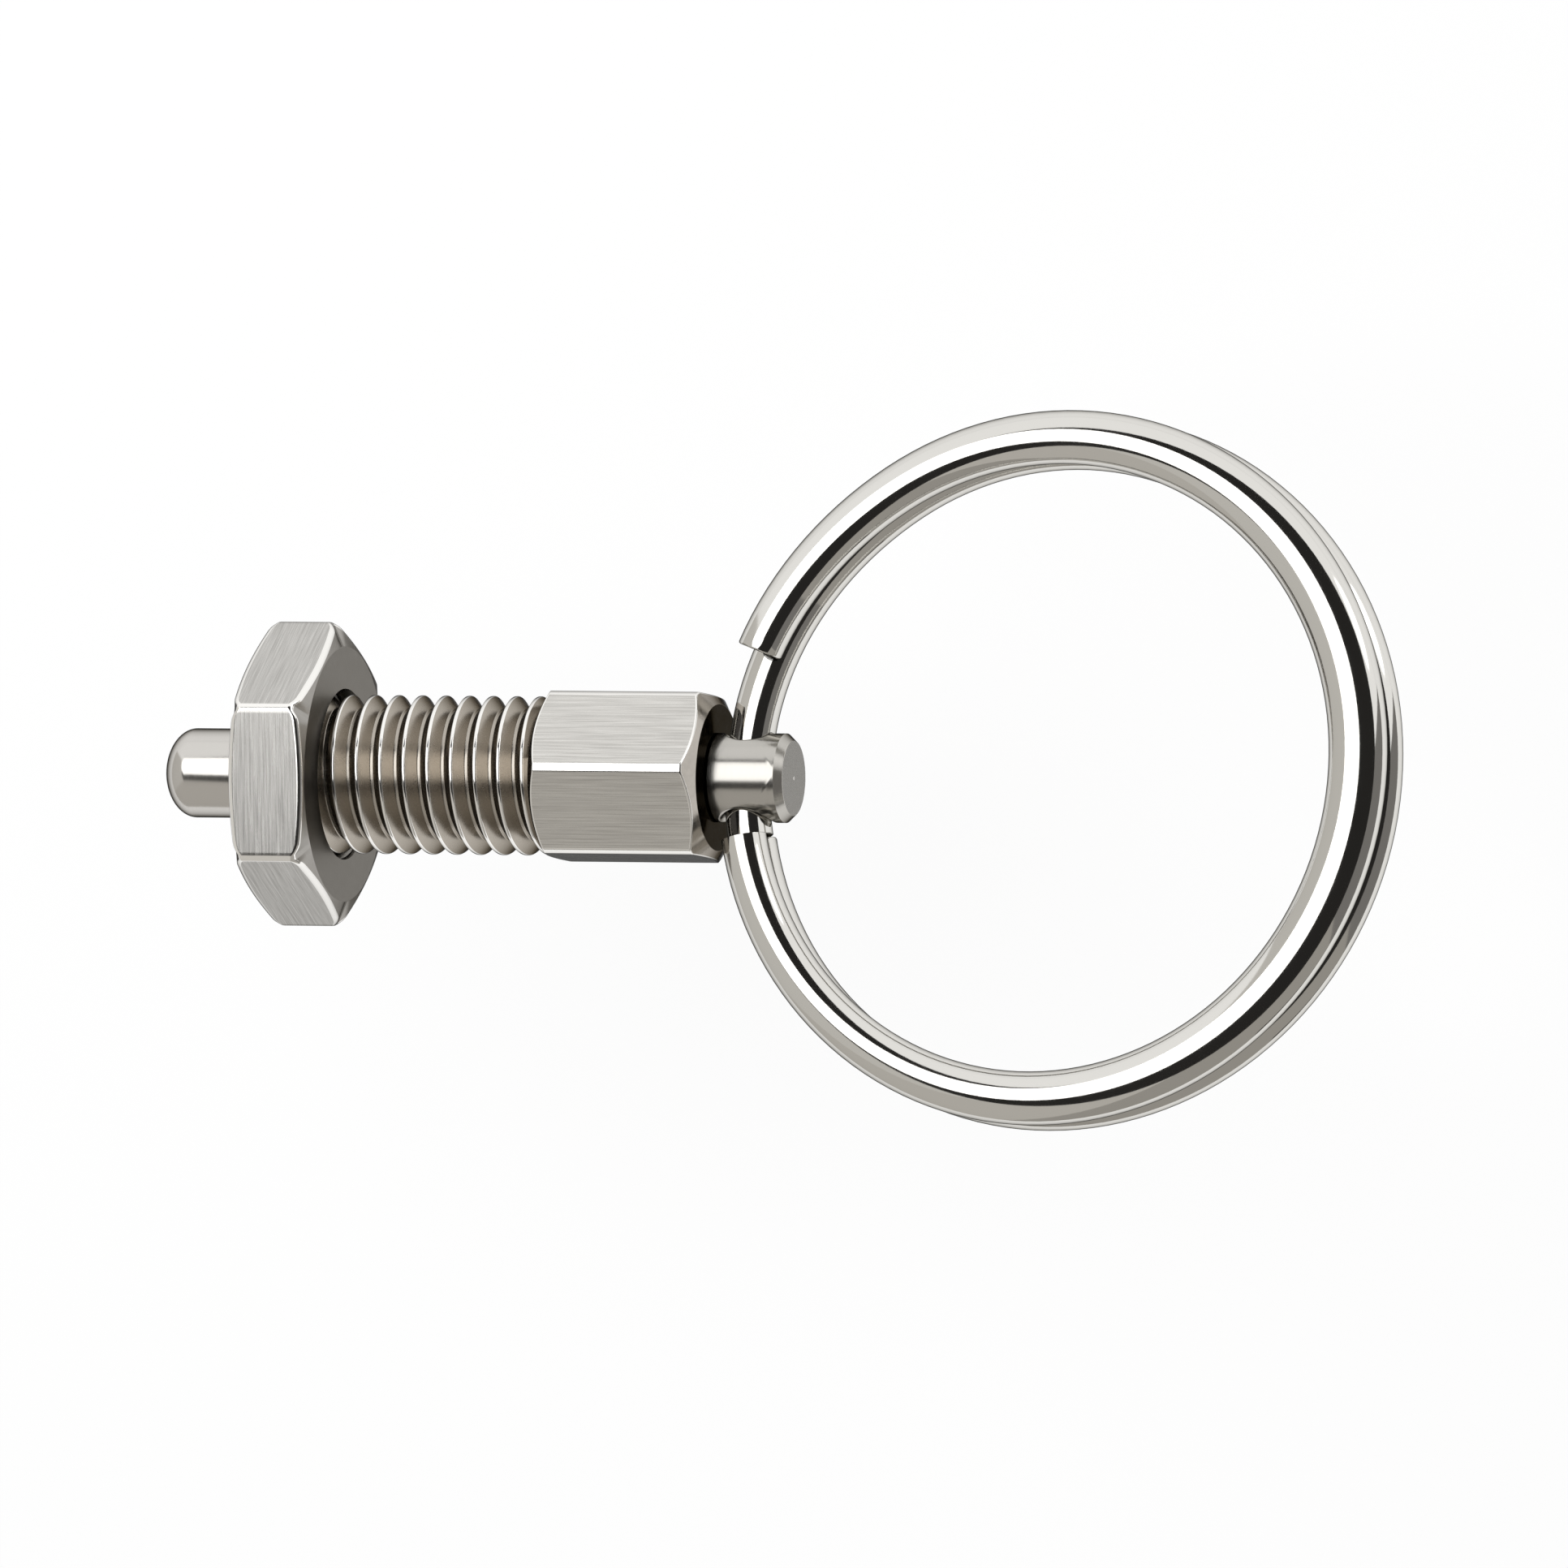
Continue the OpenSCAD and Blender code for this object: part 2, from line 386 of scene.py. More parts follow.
# Edges rubbed smooth in handling and tumbling, hence the lower roughness. Their near-white colour is
# a painted highlight: a lighter copy of the steel that draws the thin white lines on the edges and on
# the thread's crests.
edge_highlight_steel = steel(
    "edge_painted_highlight", "#FCFAF6", rough=0.12, spread=0.03, grain_mm=(0.5, 0.5, 0.5), bump_mm=0.0
)
print(len(bpy.data.materials), "materials so far")

# %% Thread, flats and inside
# Cold-rolled thread, a warm grey. Its blotches of oxide are about half a millimetre wide.
rolled_thread = steel(
    "rolled_stainless_thread",
    "#B9B2A8",
    rough=0.26,
    spread=0.03,
    grain_mm=(0.4, 0.6, 0.6),
    bump_mm=0.0002,
)
# Flats brushed along the plunger with a fine belt. A 240 grit leaves scratches 0.03 mm wide, which
# are too fine to show, so they are drawn 0.08 mm wide and 4 mm long.
brushed_hexagon = steel(
    "brushed_stainless_hexagon",
    "#FFFDF8",
    rough=0.24,
    spread=0.06,
    grain_mm=(4.0, 0.08, 0.08),
    bump_mm=0.0014,
    tint="#96938E",
)
# The nut's flats are brushed round the nut instead, with the same belt: scratches drawn 0.08 mm
# wide and 3 mm long.
brushed_nut = steel(
    "brushed_stainless_nut_flat",
    "#F1EFEB",
    rough=0.24,
    spread=0.05,
    grain_mm=(0.08, 3, 3),
    bump_mm=0.0014,
    tint="#9B9995",
)
# The nut's two turned faces, tumbled to an even satin that only hints at the thread beside it. The
# tumbling stones leave dents about 0.3 mm wide.
satin_nut_face = steel(
    "satin_stainless_nut_face",
    "#B5B2AD",
    rough=0.32,
    spread=0.03,
    grain_mm=(0.3, 0.3, 0.3),
    bump_mm=0.0002,
)
# Drilled walls, rougher and darker, with the drill's rings 0.1 mm apart.
bore_steel = steel(
    "drilled_stainless_bore",
    "#8C8882",
    rough=0.35,
    spread=0.05,
    grain_mm=(0.1, 0.6, 0.6),
    bump_mm=0.0008,
)
# Hard-drawn spring wire, a dull grey with die marks drawn 0.2 mm wide.
spring_wire = steel(
    "drawn_spring_wire", "#A9A7A2", rough=0.25, spread=0.05, grain_mm=(0.2, 0.2, 0.2), bump_mm=0.0004
)
print(len(bpy.data.materials), "materials so far")

# %% [markdown]
# ## The thread
#
# A thread is one ridge that climbs round the shank. A screw modifier can wind one, but its ends
# then have to be cut off flat. Here the rows run along the helix instead: each row is shifted a
# full pitch in one turn and meets the next row where it closes. Rows that would stick out of the
# shank are pressed against its ends and welded, so the ends are flat without a cut.

# %% Thread profile
thread_depth = 0.66
thread_round = 0.07
root_r = thread_r - thread_depth


def thread_profile():
    """Stations over one pitch: (share of the pitch, radius), with a round crest and a round root."""
    crest_half = 0.05
    root_half = 0.07
    outline = [
        (-0.5, root_r),
        (-0.5 + root_half, root_r),
        (-crest_half, thread_r),
        (crest_half, thread_r),
        (0.5 - root_half, root_r),
        (0.5, root_r),
    ]
    in_mm = [(s * pitch, r) for s, r in outline]
    smooth = rounded(in_mm, [0] + [thread_round] * 4 + [0], steps=3)
    return [(p.x / pitch + 0.5, p.y) for p in smooth][:-1]


thread_stations = thread_profile()
print(len(thread_stations), "stations in a pitch of", pitch, "mm")

# %% Helpers for a threaded wall


def profile_radius(stations, share):
    """Radius at a share of the pitch, between the stations."""
    share = share % 1.0
    following = stations[1:] + [(stations[0][0] + 1, stations[0][1])]
    for (s0, r0), (s1, r1) in zip(stations, following):
        if s0 <= share <= s1:
            return r0 + (r1 - r0) * (share - s0) / max(s1 - s0, TINY)
    return stations[0][1]


def wall_radius(stations, x, angle):
    """Radius of a threaded wall at x. The wall begins one pitch in front of X = 0."""
    return profile_radius(stations, (x + pitch) / pitch - angle / TAU)


def end_loop(stations, angles, at, limit):
    """The loop in which the threaded wall ends at at(angle)."""
    return [around_x(at(a), limit(at(a), wall_radius(stations, at(a), a)), a) for a in angles]


def add_helix_skin(bm, stations, angles, end, limit, material, crest_r=0.0, crest_material=0):
    """A threaded wall from 0 to end(angle). Faces above crest_r get their own material."""
    turns = math.ceil(max(end(a) for a in angles) / pitch) + 2
    per_turn = len(stations)
    rows = []
    for i in range(turns * per_turn + 1):
        turn, k = divmod(i, per_turn)
        row = []
        for a in angles:
            x = -pitch + (turn + stations[k][0] + a / TAU) * pitch
            x = min(max(x, 0.0), end(a))
            r = limit(x, wall_radius(stations, x, a))
            row.append(bm.verts.new(around_x(x, r, a)))
        rows.append(row)
    count = len(angles)
    for i in range(len(rows) - 1):
        middle_r = (stations[i % per_turn][1] + stations[(i + 1) % per_turn][1]) / 2
        on_crest = crest_r and middle_r > crest_r
        for k in range(count):
            n = (k + 1) % count
            up = per_turn if n == 0 else 0
            if i + 1 + up >= len(rows):
                continue
            corners = (rows[i][k], rows[i + up][n], rows[i + 1 + up][n], rows[i + 1][k])
            bm.faces.new(corners).material_index = crest_material if on_crest else material


first_radii = [round(wall_radius(thread_stations, 0.0, TAU * k / 4), 2) for k in range(4)]
print("radii of the thread at X = 0, a quarter turn apart:", first_radii)

# %% [markdown]
# ## The hexagon's outline
#
# Hexagon bar is drawn with its six corners slightly broken, and handling rounds them further. A
# cylinder with six sides and a bevel modifier would give that too, but its points would not match
# the thread's. So the outline is laid out here as angles and radii, with more points near the
# corners, where the turned cone curves most, and the thread takes over the same angles.

# %% Helpers for a hexagon
HALF_SIDE = math.radians(30)
corner_soft = 0.05
corner_crown = 0.012


def side_axes(angle):
    """The direction that looks outwards at an angle, and the one along the side there."""
    outward = Vector((math.cos(angle), math.sin(angle)))
    along = Vector((-math.sin(angle), math.cos(angle)))
    return outward, along


def hexagon(apothem, bevel, turn_deg, flat_steps=22, bevel_steps=4):
    """(angle, radius, distance to the nearest bevel) round a hexagon with flattened corners.

    One corner stands at turn_deg. Each bevel is crowned, and its two edges are rounded over.
    """
    corner_reach = apothem / math.cos(HALF_SIDE)
    bevel_apothem = corner_reach - bevel / 2 * math.tan(HALF_SIDE)
    half_flat = apothem * math.tan(HALF_SIDE) - bevel / 2 / math.cos(HALF_SIDE)
    points = []
    for side in range(6):
        at = math.radians(turn_deg + 60 * side)
        outward, along = side_axes(at)
        for k in range(bevel_steps + 1):
            share = 2 * k / bevel_steps - 1
            crown = corner_crown * (1 - share**2)
            point = outward * (bevel_apothem + crown) + along * share * (bevel / 2 - corner_soft / 2)
            points.append((point, 0.0))
        outward, along = side_axes(at + HALF_SIDE)
        for k in range(flat_steps + 1):
            even = 2 * k / flat_steps - 1
            dense_at_ends = -math.cos(math.pi * k / flat_steps)
            share = 0.35 * dense_at_ends + 0.65 * even
            reach = (half_flat - corner_soft / 2) * share
            points.append((outward * apothem + along * reach, half_flat - abs(reach)))
    triples = [(math.atan2(p.y, p.x) % TAU, p.length, gap) for p, gap in points]
    return sorted(triples)


def bevel_columns(triples):
    """The columns of faces that lie on a bevel or on its rounded edges."""
    count = len(triples)
    return {k for k in range(count) if triples[k][2] == 0 or triples[(k + 1) % count][2] == 0}


print("a bevel is crowned by", corner_crown, "mm")

# %% [markdown]
# ## The sleeve
#
# The sleeve is one bar: the thread is rolled on its front and the rear keeps its hexagon. A cone is
# turned over the hexagon's corners at both ends, which leaves the curved ends of the flats. All its
# walls share the hexagon's angles, so they meet point by point and no boolean is needed. The edges
# round the flats are rounded by about a tenth of a millimetre and take the near-white edge steel,
# a painted highlight.

# %% Sleeve sizes and its threaded wall
thread_len = 14.9
front_chamfer = 0.6
hex_apothem = 4.1
hex_bevel = 0.42
hex_face_r = 3.7
hex_turn = 9.7
cone_slope = math.tan(math.radians(30))
# The thread's outer 0.05 mm takes the near-white edge steel, a painted highlight along the crest.
bright_crest = 0.05

THREAD, FLAT, END, BORE, EDGE, CONE = range(6)
hex_points = hexagon(hex_apothem, hex_bevel, 90 - hex_turn)
hex_angles = [a for a, _, _ in hex_points]


def sleeve_limit(x, r):
    """The front chamfer cuts the first thread."""
    return min(r, thread_r - front_chamfer + x)


def thread_end(angle):
    """Where the thread meets the hexagon's turned cone."""
    r = wall_radius(thread_stations, thread_len, angle)
    return thread_len + max(0, r - hex_face_r) * cone_slope


bm = bmesh.new()
add_helix_skin(
    bm,
    thread_stations,
    hex_angles,
    thread_end,
    sleeve_limit,
    THREAD,
    crest_r=thread_r - bright_crest,
    crest_material=EDGE,
)
print(len(hex_points), "points round the sleeve and", len(bm.verts), "in its thread")

# %% Sleeve hexagon
front_round = 0.08
rear_round = 0.1
face_round = 0.06
stem_hole_r = 1.55
stem_hole_chamfer = 0.1
# Keeps the cone's first loop from the thread's last one, so the two don't weld.
apart = 0.001

last_thread = end_loop(thread_stations, hex_angles, thread_end, sleeve_limit)
columns = []
for (_, reach, _), foot in zip(hex_points, last_thread):
    foot_r = math.hypot(foot.y, foot.z)
    cone_r = max(hex_face_r, foot_r)
    outline = [
        (foot.x, foot_r),
        (thread_len + (cone_r - hex_face_r) * cone_slope, cone_r + apart),
        (thread_len + (reach - hex_face_r) * cone_slope, reach),
        (sleeve_end - (reach - hex_face_r) * cone_slope, reach),
        (sleeve_end, hex_face_r),
        (sleeve_end, stem_hole_r + stem_hole_chamfer),
    ]
    columns.append(rounded(outline, [0, 0, front_round, rear_round, face_round, 0], steps=3))
sleeve_loops = column_loops(columns, hex_angles)
# Loops 2 to 7, 8 to 13 and 14 to 19 are the rounded corners. The corners beside the flats and the
# bevels take the near-white edge steel, a painted highlight.
sleeve_bands = [
    (0, 2, CONE),
    (2, 7, EDGE),
    (7, 8, FLAT),
    (8, 13, EDGE),
    (13, 18, CONE),
    (18, 20, END),
]
add_bands(bm, sleeve_loops, sleeve_bands, FLAT, EDGE, bevel_columns(hex_points))
print(len(sleeve_loops), "loops along the hexagon")

# %% Sleeve bore
spring_seat = 20.3
bore_chamfer = 0.3

bore = [
    (sleeve_end, stem_hole_r + stem_hole_chamfer),
    (sleeve_end - stem_hole_chamfer, stem_hole_r),
    (spring_seat, stem_hole_r),
    (spring_seat, guide_r),
    (bore_chamfer, guide_r),
    (0.0, guide_r + bore_chamfer),
]
add_skin(bm, [circle_loop(r, x, hex_angles) for x, r in bore], BORE)
front = end_loop(thread_stations, hex_angles, lambda a: 0.0, sleeve_limit)
add_skin(bm, [circle_loop(guide_r + bore_chamfer, 0.0, hex_angles), front], THREAD)
sleeve_steels = [
    rolled_thread,
    brushed_hexagon,
    hexagon_end_painted_shade,
    bore_steel,
    edge_highlight_steel,
    turned_chamfer,
]
sleeve = finish_mesh("sleeve", bm, sleeve_steels, sharp=35)
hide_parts("sleeve_body")
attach(sleeve, "sleeve")

# %% [markdown]
# ## The lock nut
#
# The nut is cut from the same kind of hexagon bar. Its faces are turned, and the turned cone cuts
# the flats in the curved shoulders that every nut has. They come from the outline by themselves:
# the further out a column stands, the further in its shoulder starts. The nut's own thread is a
# groove in the bore, so the helper that made the sleeve's ridge makes this wall too.

# %% Lock nut sizes and its threaded bore
nut_apothem = 6.7
nut_bevel = 0.31
nut_face_r = 6.4
nut_slope = math.tan(math.radians(15))
nut_bore_r = 4.05
groove_r = nut_bore_r + 0.22
countersink = 0.25
countersink_len = 0.5

NUT_FLAT, NUT_FACE, NUT_EDGE = range(3)
nut_points = hexagon(nut_apothem, nut_bevel, 0, flat_steps=30)
nut_angles = [a for a, _, _ in nut_points]
groove_stations = [
    (0.0, nut_bore_r),
    (0.3, nut_bore_r),
    (0.46, groove_r),
    (0.62, groove_r),
    (0.78, nut_bore_r),
]


def nut_limit(x, r):
    """The countersink at each end of the nut's thread."""
    from_end = min(x, nut_t - x)
    return max(r, nut_bore_r + countersink * max(0, 1 - from_end / countersink_len))


bm = bmesh.new()
add_helix_skin(bm, groove_stations, nut_angles, lambda a: nut_t, nut_limit, NUT_FACE)
front_mouth = end_loop(groove_stations, nut_angles, lambda a: 0.0, nut_limit)
back_mouth = end_loop(groove_stations, nut_angles, lambda a: nut_t, nut_limit)
print(len(nut_points), "points round the nut, which is", round(nut_t, 2), "mm thick")

# %% Lock nut faces and flats
corner_drop = 0.22
corner_width = 0.6
rim_round = 0.12
shoulder_round = 0.26

columns = []
for (_, reach, to_bevel), front, back in zip(nut_points, front_mouth, back_mouth):
    near_corner = max(0, 1 - to_bevel / corner_width)
    shoulder = (reach - nut_face_r) * nut_slope + corner_drop * near_corner**2
    outline = [
        (0.0, math.hypot(front.y, front.z)),
        (0.0, nut_face_r),
        (shoulder, reach),
        (nut_t - shoulder, reach),
        (nut_t, nut_face_r),
        (nut_t, math.hypot(back.y, back.z)),
    ]
    radii = [0, rim_round, shoulder_round, shoulder_round, rim_round, 0]
    columns.append(rounded(outline, radii, steps=4))
nut_loops = column_loops(columns, nut_angles)
# Loops 8 to 14 and 15 to 21 are the rounded shoulders. They and the bevels take the near-white edge
# steel, a painted highlight.
nut_bands = [
    (0, 8, NUT_FACE),
    (8, 14, NUT_EDGE),
    (14, 15, NUT_FLAT),
    (15, 21, NUT_EDGE),
    (21, 29, NUT_FACE),
]
add_bands(bm, nut_loops, nut_bands, NUT_FLAT, NUT_EDGE, bevel_columns(nut_points))
nut = finish_mesh("lock_nut_hexagon", bm, [brushed_nut, satin_nut_face, edge_highlight_steel], sharp=35)
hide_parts("lock_nut")
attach(nut, "nut")

# %% [markdown]
# ## The pin
#
# The pin is ground to size and its nose is rounded off, so that it finds its hole. It is a plain
# turned piece: one outline from the tip to the blind socket that holds the stem, spun round the
# axis. Where the outline starts on the axis, a fan of triangles closes the tip.

# %% Index pin
ROUND_POINTS = 128
pin_r = 2.25
nose_len = 1.5
nose_steps = 16
grease_groove = 0.25
groove_end = 0.8
pin_end = 8.5
socket_r = stem_r + 0.01
socket_floor = 3.5
pin_round = 0.03
pin_end_round = 0.05

nose = []
for k in range(1, nose_steps + 1):
    a = math.radians(90 * k / nose_steps)
    nose.append((pin_tip + nose_len * (1 - math.cos(a)), pin_r * math.sin(a)))
pin_outline = nose + [
    (0.0, pin_r),
    (0.0, pin_r - grease_groove),
    (groove_end, pin_r - grease_groove),
    (groove_end, pin_r),
    (pin_end, pin_r),
    (pin_end, socket_r),
    (socket_floor, socket_r),
]
pin_radii = [0] * nose_steps + [pin_round] * 4 + [pin_end_round, pin_round, 0]
round_angles = [TAU * k / ROUND_POINTS for k in range(ROUND_POINTS)]
bm = bmesh.new()
pin_loops = [circle_loop(p.y, p.x, round_angles) for p in rounded(pin_outline, pin_radii, steps=3)]
add_skin(bm, pin_loops, 0, cap_last=True)
tip = bm.verts.new((pin_tip, 0, 0))
bm.verts.ensure_lookup_table()
for k in range(ROUND_POINTS):
    n = (k + 1) % ROUND_POINTS
    bm.faces.new((bm.verts[n], bm.verts[k], tip))
pin = finish_mesh("pin_nose_and_shank", bm, [ground_pin], sharp=50)
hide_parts("index_pin")
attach(pin, "pin")

# %% [markdown]
# ## The knob and its cross hole
#
# The knob is turned in one piece with the stem. The hole that takes the ring crosses it, and its
# mouth is a saddle-shaped curve. A boolean would leave a torn edge there, so the wall is laid out
# as spokes round the hole instead: from the hole's own wall, over a rounded lip, to a rectangle
# that wraps half the knob. Two such patches close the knob.

# %% Spokes round the cross hole
SPOKES = 96
knob_x = 23.9
knob_chamfer = 0.38
hole_r = 1.32
lip = 0.22
lip_steps = 5
# The lip takes no more than this share of a spoke, and one loop lies at this share of the wall.
lip_share = 0.6
wall_share = 0.6
patch_shares = (0.03, 0.25, 0.5, 0.75, 1.0)

flat_end = knob_end - knob_chamfer
patch_left = hole_x - knob_x
patch_right = flat_end - hole_x
patch_half = knob_r * math.pi / 2
corner_angles = [math.atan2(patch_half, patch_right), math.atan2(patch_half, -patch_left)]
corner_angles += [TAU - a for a in corner_angles[::-1]]
spoke_angles = sorted(set(TAU * k / SPOKES for k in range(SPOKES)) | set(corner_angles))
hole_axis_angle = math.radians(-ring_turn)


def rectangle_point(direction):
    """Where a spoke from the hole's centre leaves the rectangle."""
    reach = math.inf
    if direction.x < -TINY:
        reach = min(reach, patch_left / -direction.x)
    if direction.x > TINY:
        reach = min(reach, patch_right / direction.x)
    if abs(direction.y) > TINY:
        reach = min(reach, patch_half / abs(direction.y))
    return direction * reach


def on_knob(x, arc):
    """A point of the knob's skin. arc is measured round the knob from the hole's axis."""
    return around_x(x, knob_r, hole_axis_angle + arc / knob_r)


def spoke(angle, side):
    """Points from inside the hole, over its lip, to the edge of the patch."""
    c, s = math.cos(angle), math.sin(angle)
    along = Vector((0, math.cos(hole_axis_angle), math.sin(hole_axis_angle)))
    across = Vector((0, -math.sin(hole_axis_angle), math.cos(hole_axis_angle)))
    mouth = math.sqrt(knob_r**2 - (hole_r * s) ** 2)
    wall = Vector((hole_x + hole_r * c, 0, 0)) + across * hole_r * s
    edge = Vector((hole_r * c, knob_r * math.asin(hole_r * s / knob_r)))
    rim = rectangle_point(Vector((c, s)).normalized())
    to_rim = rim - edge
    start = edge + to_rim.normalized() * min(lip, to_rim.length * lip_share)
    inner = wall + along * (mouth - lip)
    corner = wall + along * mouth
    over = on_knob(hole_x + start.x, start.y)
    points = [
        wall,
        wall + along * (mouth - lip) * wall_share,
        wall + along * (mouth - lip - GUARD_ROW),
    ]
    for k in range(lip_steps + 1):
        t = k / lip_steps
        points.append(inner * (1 - t) ** 2 + corner * 2 * t * (1 - t) + over * t**2)
    for share in patch_shares:
        p = start + (rim - start) * share
        points.append(on_knob(hole_x + p.x, p.y))
    if side < 0:
        half_turn = Matrix.Rotation(math.pi, 3, "X")
        points = [half_turn @ p for p in points]
    return points


bm = bmesh.new()
rim_points = []
for side in (1, -1):
    rows = [[bm.verts.new(p) for p in spoke(a, side)] for a in spoke_angles]
    for k in range(len(rows)):
        n = (k + 1) % len(rows)
        for i in range(len(rows[0]) - 1):
            bm.faces.new((rows[k][i], rows[n][i], rows[n][i + 1], rows[k][i + 1]))
    rim_points += [row[-1].co.copy() for row in rows]
print(len(spoke_angles), "spokes in each of two patches")

# %% [markdown]
# ## The knob's ends and the stem
#
# In front the knob ends in a flat shoulder with the stem in its middle, and behind in a chamfer and
# a faced end. Both are turned like the other pieces. They take their angles from the patches'
# edges, so that every point meets its neighbour.

# %% Knob ends and stem
KNOB_SKIN, KNOB_FACE = range(2)
stem_start = 3.52
end_face_r = knob_r - knob_chamfer + 0.02
end_round = 0.04
# The tool leaves a tiny dimple in the middle of the faced end.
dimple_r = 0.12
dimple_floor_r = 0.05
dimple_depth = 0.04
dimple_round = 0.03


def rim_angles(at):
    """Angles of the patches' points on the loop at x = at."""
    on_loop = [p for p in rim_points if abs(p.x - at) < 1e-4]
    return sorted({round(math.atan2(p.z, p.y) % TAU, 6) for p in on_loop})


stem_outline = [(knob_x, knob_r), (knob_x, stem_r), (stem_start, stem_r)]
shoulder_angles = rim_angles(knob_x)
add_skin(bm, [circle_loop(r, x, shoulder_angles) for x, r in stem_outline], KNOB_SKIN, cap_last=True)
end_outline = rounded(
    [
        (flat_end, knob_r),
        (knob_end, end_face_r),
        (knob_end, dimple_r),
        (knob_end - dimple_depth, dimple_floor_r),
    ],
    [0, end_round, dimple_round, 0],
    steps=3,
)
end_angles = rim_angles(flat_end)
end_loops = [circle_loop(p.y, p.x, end_angles) for p in end_outline]
# The fifth loop lies on the chamfer's rounded edge. The faced end starts there.
add_skin(bm, end_loops[:5], KNOB_SKIN)
add_skin(bm, end_loops[4:], KNOB_FACE, cap_last=True)
knob = finish_mesh("knob_and_stem", bm, [turned_knob, faced_end], sharp=35)
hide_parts("pull_rod")
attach(knob, "pin")

# %% [markdown]
# ## The spring
#
# The spring is wound from drawn wire, with a flat turn at each end so that it stands square. A
# screw modifier would give all its turns the same rise, so a circle of points is carried along the
# helix instead, and the rise changes on the way. It sits out of sight in the bore, and one call
# gives it a mesh of its own.

# %% Compression spring
wire_r = 0.225
wire_sides = 12
spring_turns = 9
flat_turns = 1
turn_steps = 40
open_turns = spring_turns - 2 * flat_turns
mean_r = (stem_r + guide_r) / 2
start_x = spring_low.x + wire_r
end_x = spring_high.x - wire_r
flat_rise = wire_r * 2 * 1.02
open_rise = (end_x - start_x - 2 * flat_turns * flat_rise) / open_turns


def coil_loop(turn):
    """The circle of wire after that many turns."""
    opened = min(max(turn - flat_turns, 0), open_turns)
    x = start_x + (turn - opened) * flat_rise + opened * open_rise
    outward = Vector((0, math.cos(TAU * turn), math.sin(TAU * turn)))
    axis = Vector((1, 0, 0))
    centre = Vector((x, 0, 0)) + outward * mean_r
    loop = []
    for k in range(wire_sides):
        t = TAU * k / wire_sides
        loop.append(centre + outward * wire_r * math.cos(t) + axis * wire_r * math.sin(t))
    return loop


bm = bmesh.new()
coil_loops = [coil_loop(i / turn_steps) for i in range(spring_turns * turn_steps + 1)]
add_skin(bm, coil_loops, 0, cap_first=True, cap_last=True)
spring = finish_mesh("coil_spring", bm, [spring_wire])
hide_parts("compression_spring")
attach(spring, "spring")
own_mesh(spring)

# %% [markdown]
# ## The split ring's path
#
# The ring is one length of oval wire wound to two turns that touch, like a key ring. The upper cut
# end lies above the knob. From there the wire runs once round on the upper level, steps down just
# below the knob, passes through the hole, and runs on underneath to its other cut end. A curve
# object could carry the wire, but its turns have to touch and to part at exact places, so the path
# is a formula: a circle whose level depends on how far along the wire it is.

# %% Ring sizes
# Two turns, each as thick as turn_t, with a hair of air between them.
ring_d = 33.4
ring_r = ring_d / 2
turn_t = 2.08
turn_pitch = turn_t + 0.02
# The wire is widest opposite the knob and narrowest where it passes through it.
wire_w = 3.1
wire_w_knob = 2.35
# The ring hangs in its hole a little tilted and a little to one side.
ring_lift = 4.5
ring_slip = 0.35
# Levels go from 1 on the upper turn to -1 on the lower one. In the hole the wire is near 0.
hole_level = 0.1
# The lower turn has sunk to its level this many degrees after the knob.
sink_end = 58
# How far the wire bows inside the knob.
wire_bow = ring_r - math.sqrt(ring_r**2 - knob_r**2)


def wire_degrees(length):
    """The angle that a length of wire takes up on the ring."""
    return math.degrees(length / ring_r)


upper_end = wire_degrees(5.93)
far_end = wire_degrees(3.37)
step_from = wire_degrees(3.54)
step_to = wire_degrees(3.42)
ring_end = 720 - upper_end - far_end
hole_half = math.degrees(math.asin(knob_r / ring_r))
print("the wire runs through", round(ring_end), "degrees")

# %% Ring level and the places where it is cut into loops
# Degrees from loop to loop: far from the knob, near it and on the step.
COARSE = 2.5
FINE = 0.5
FINEST = 0.05
near_hole = 4
near_step = (0.6, 0.2)


def ease(x, x0, x1):
    """Rises smoothly from 0 at x0 to 1 at x1."""
    t = min(max((x - x0) / (x1 - x0), 0), 1)
    return t * t * (3 - 2 * t)


def far_level(past):
    """Level of the lower turn, past degrees after the knob's axis, while it sinks."""
    return -hole_level - (1 - hole_level) * ease(past, hole_half, sink_end)


def ring_level(travel):
    """1 on the upper turn and -1 on the lower one. The cut end rides on the sinking turn."""
    past = travel - (360 - upper_end)
    if past > hole_half:
        return far_level(past)
    if travel < sink_end:
        return far_level(travel + upper_end) + 2
    step_down = (1 - hole_level) * ease(past, -step_from, -step_to)
    return 1 - step_down - 2 * hole_level * ease(past, -hole_half, hole_half)


travels = [0.0]
while travels[-1] < ring_end - COARSE:
    past = travels[-1] - (360 - upper_end)
    advance = FINE if -step_from - near_hole < past < hole_half + near_hole else COARSE
    if -step_from - near_step[0] < past < -step_to + near_step[1]:
        advance = FINEST
    travels.append(travels[-1] + advance)
travels.append(ring_end)
print(len(travels), "places along the wire")

# %% [markdown]
# ## The split ring's section
#
# The wire is oval, wider across the ring than it is thick. A bevelled curve has one section all
# along, but this wire changes its width, so each loop is laid out by itself: an ellipse, a trace
# slimmer between its four ends. Near its far end the hidden turn is slimmer on the inside, which
# keeps it off the hexagon when the ring swings up. Both cut ends get a small bevel: their last
# loops are the same section, drawn smaller.

# %% Split ring
SECTION_POINTS = 40
section_power = 1.05
# The hidden turn loses this much on its inside between these degrees of travel.
slim_by = 0.15
slim_from = 590
slim_to = 650
# (share of the bevel's length, how far in the section is drawn) from a cut end inwards.
end_bevel = 0.1
bevel_deg = wire_degrees(end_bevel)
bevel_rows = [(0, end_bevel), (0.3, 0.03), (1, 0.0)]

